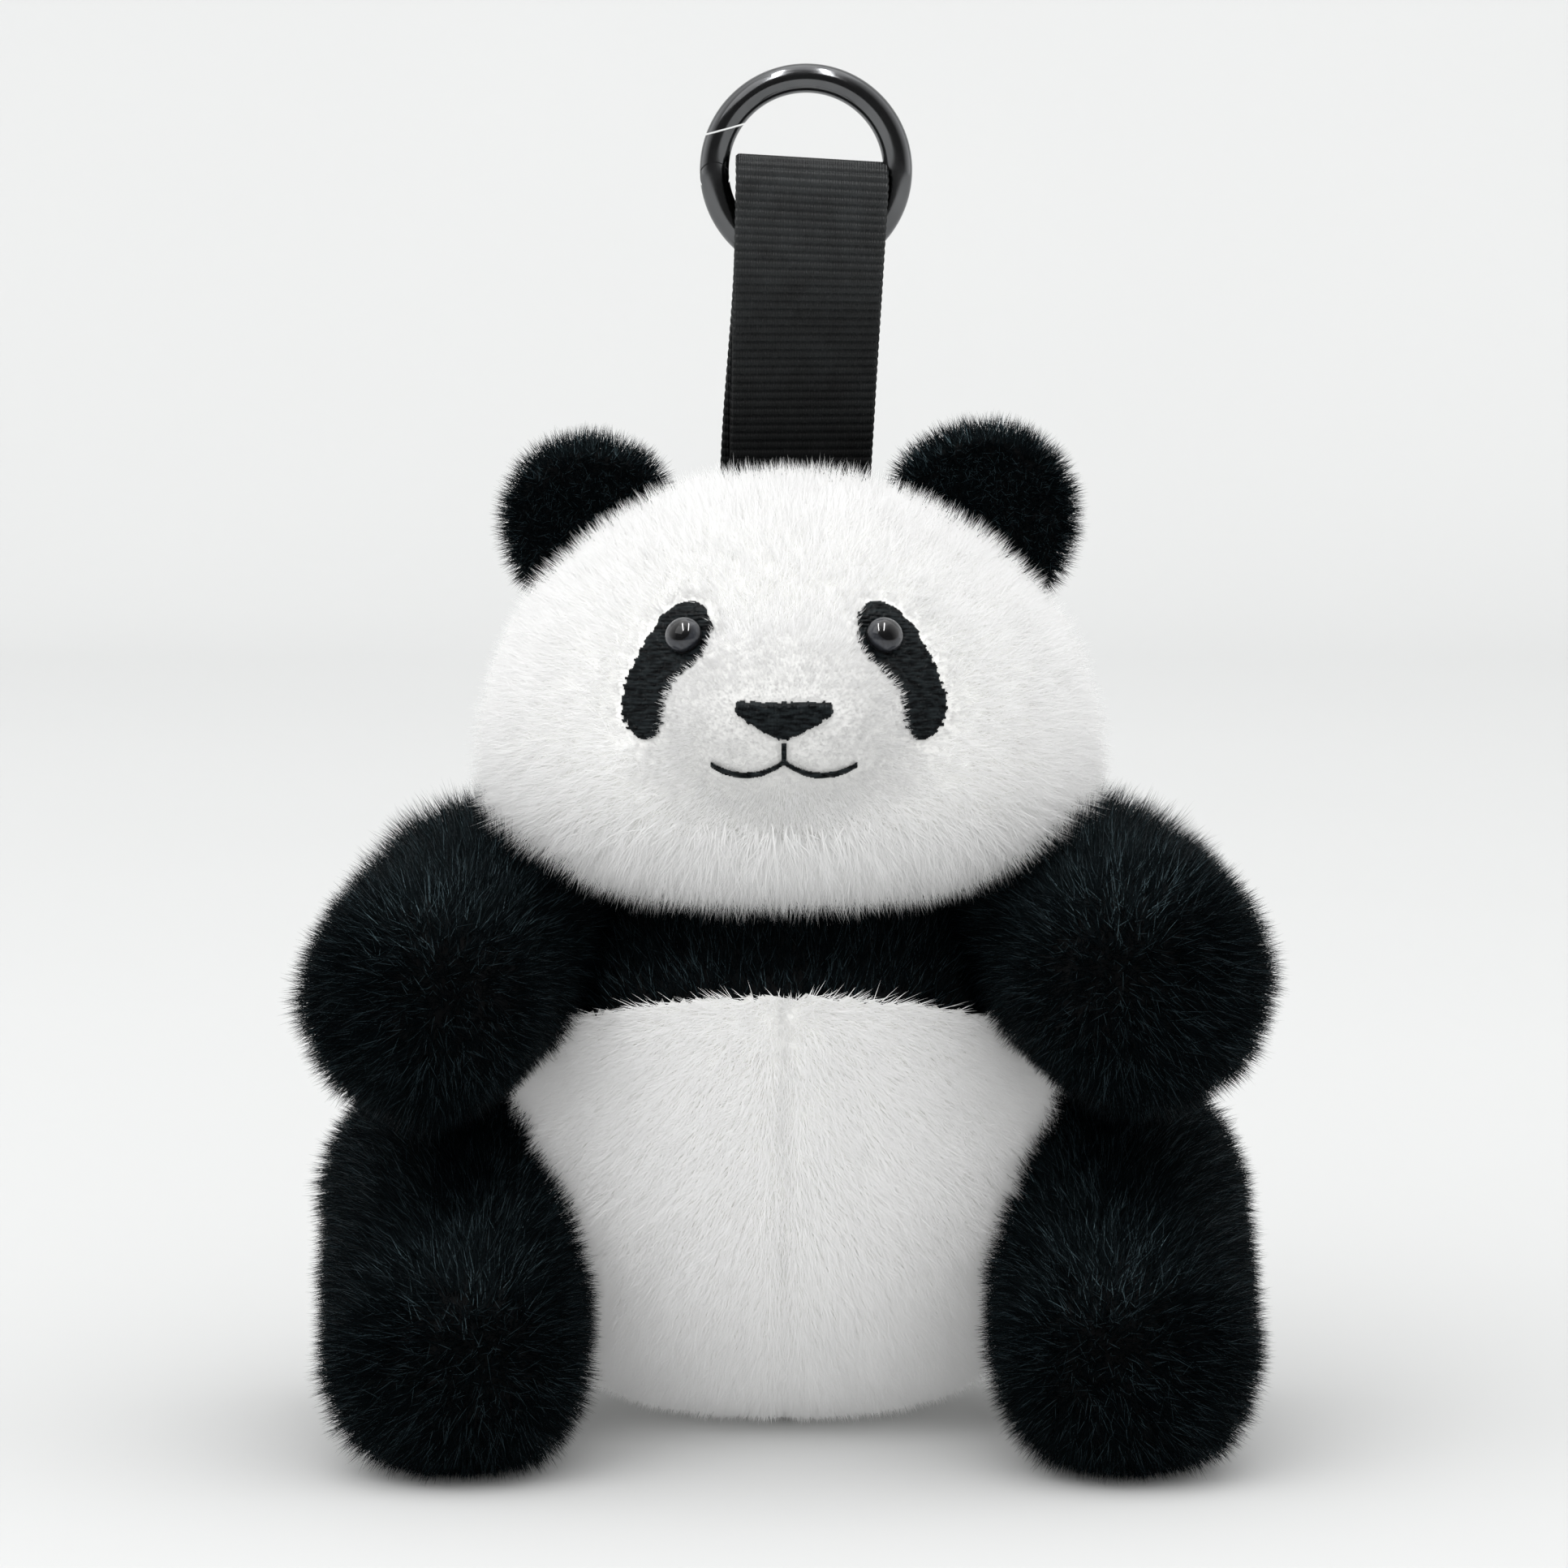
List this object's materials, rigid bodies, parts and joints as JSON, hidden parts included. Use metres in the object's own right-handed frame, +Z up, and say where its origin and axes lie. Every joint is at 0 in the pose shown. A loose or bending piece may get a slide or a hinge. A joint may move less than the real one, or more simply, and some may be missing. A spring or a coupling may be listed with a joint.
{
  "type": "plush panda bag charm",
  "caption": "Soft panda toy with embroidered face and domed eyes, hung from a ribbed webbing strap with a sprung gate ring for clipping to a bag.",
  "frame": {"origin": "on the flat of the seat panel, on the toy's middle plane", "axes": "+Z up through the head, -Y the way the toy faces, +X towards the toy's own left side"},
  "size_m": [0.1456, 0.1189, 0.2216],
  "materials": {
    "white_pile": "soft white pile, about 5 mm long",
    "black_pile": "soft black pile, about 5 mm long, slightly glossy tips",
    "stuffing_fibre": "loose polyester fibre",
    "black_thread": "rayon satin stitch",
    "white_thread": "doubled nylon thread",
    "eye_lens": "clear dome over a dark grey iris and a black pupil",
    "eye_post": "moulded",
    "eye_washer": "moulded",
    "webbing": "ribbed polyester webbing",
    "ring_metal": "black nickel plate, polished",
    "pin_steel": "plain"
  },
  "bodies": {
    "torso": {"yoke_front_panel": "black_pile", "yoke_back_panel": "black_pile", "belly_left_panel": "white_pile", "belly_right_panel": "white_pile", "rump_panel": "white_pile", "seat_panel": "white_pile", "torso_stuffing": "stuffing_fibre", "tail_cover": "white_pile", "tail_stuffing": "stuffing_fibre"},
    "neck": {"neck_gather_thread": "white_thread"},
    "head": {"face_left_panel": "white_pile", "face_right_panel": "white_pile", "head_back_panel": "white_pile", "head_stuffing": "stuffing_fibre", "nose_embroidery": "black_thread", "mouth_embroidery": "black_thread", "eye_left_patch": "black_thread", "eye_left_lens": "eye_lens", "eye_left_post": "eye_post", "eye_left_washer": "eye_washer", "eye_right_patch": "black_thread", "eye_right_lens": "eye_lens", "eye_right_post": "eye_post", "eye_right_washer": "eye_washer", "strap_anchor": "webbing", "strap_bartack": "black_thread"},
    "ear_left": {"ear_left_front": "black_pile", "ear_left_back": "black_pile"},
    "ear_right": {"ear_right_front": "black_pile", "ear_right_back": "black_pile"},
    "arm_left": {"arm_left_outer_panel": "black_pile", "arm_left_inner_panel": "black_pile", "arm_left_stuffing": "stuffing_fibre"},
    "arm_right": {"arm_right_outer_panel": "black_pile", "arm_right_inner_panel": "black_pile", "arm_right_stuffing": "stuffing_fibre"},
    "leg_left": {"leg_left_outer_panel": "black_pile", "leg_left_inner_panel": "black_pile", "leg_left_stuffing": "stuffing_fibre"},
    "leg_right": {"leg_right_outer_panel": "black_pile", "leg_right_inner_panel": "black_pile", "leg_right_stuffing": "stuffing_fibre"},
    "strap_lower": {"strap_lower": "webbing"},
    "strap_upper": {"strap_upper": "webbing"},
    "ring": {"ring_body": "ring_metal", "gate_pin": "pin_steel"},
    "gate": {"ring_gate": "ring_metal", "gate_spring": "pin_steel"}
  },
  "joints": [
    {"name": "head_nod", "type": "hinge", "parent": "torso", "child": "neck", "pos_m": [0, 0.003, 0.093], "axis": [1, 0, 0], "range_deg": [-8, 8], "stiffness_Nm_per_rad": 0.6},
    {"name": "head_turn", "type": "hinge", "parent": "neck", "child": "head", "pos_m": [0, 0.003, 0.093], "axis": [0, 0, 1], "range_deg": [-15, 15], "stiffness_Nm_per_rad": 0.3},
    {"name": "ear_left_flex", "type": "hinge", "parent": "head", "child": "ear_left", "pos_m": [0.0309, 0.008, 0.145], "axis": [0.788, 0, -0.6157], "range_deg": [-25, 25], "stiffness_Nm_per_rad": 0.01},
    {"name": "ear_right_flex", "type": "hinge", "parent": "head", "child": "ear_right", "pos_m": [-0.0309, 0.008, 0.145], "axis": [0.788, 0, 0.6157], "range_deg": [-25, 25], "stiffness_Nm_per_rad": 0.01},
    {"name": "arm_left_lift", "type": "hinge", "parent": "torso", "child": "arm_left", "pos_m": [0.045, 0.006, 0.0802], "axis": [-0.8, 0, 0.6], "range_deg": [-8, 28], "stiffness_Nm_per_rad": 0.15},
    {"name": "arm_right_lift", "type": "hinge", "parent": "torso", "child": "arm_right", "pos_m": [-0.045, 0.006, 0.0802], "axis": [-0.8, 0, -0.6], "range_deg": [-8, 28], "stiffness_Nm_per_rad": 0.15},
    {"name": "leg_left_lift", "type": "hinge", "parent": "torso", "child": "leg_left", "pos_m": [0.054, 0.004, 0.036], "axis": [-1, 0, 0], "range_deg": [-24, 14], "stiffness_Nm_per_rad": 0.2},
    {"name": "leg_right_lift", "type": "hinge", "parent": "torso", "child": "leg_right", "pos_m": [-0.054, 0.004, 0.036], "axis": [-1, 0, 0], "range_deg": [-24, 14], "stiffness_Nm_per_rad": 0.2},
    {"name": "strap_root_flex", "type": "hinge", "parent": "head", "child": "strap_lower", "pos_m": [0.0036, 0.008, 0.1541], "axis": [1, 0, 0], "range_deg": [-60, 60], "stiffness_Nm_per_rad": 0.05},
    {"name": "strap_mid_flex", "type": "hinge", "parent": "strap_lower", "child": "strap_upper", "pos_m": [0.0036, 0.008, 0.173], "axis": [1, 0, 0], "range_deg": [-45, 45], "stiffness_Nm_per_rad": 0.03},
    {"name": "ring_spin", "type": "hinge", "parent": "strap_upper", "child": "ring", "pos_m": [0.0036, 0.008, 0.2042], "axis": [0, 1, 0], "range_deg": [0, 110]},
    {"name": "gate_open", "type": "hinge", "parent": "ring", "child": "gate", "pos_m": [-0.01136, 0.008, 0.20315], "axis": [0, 1, 0], "range_deg": [0, 14], "stiffness_Nm_per_rad": 0.02, "springref_deg": -8.59}
  ]
}
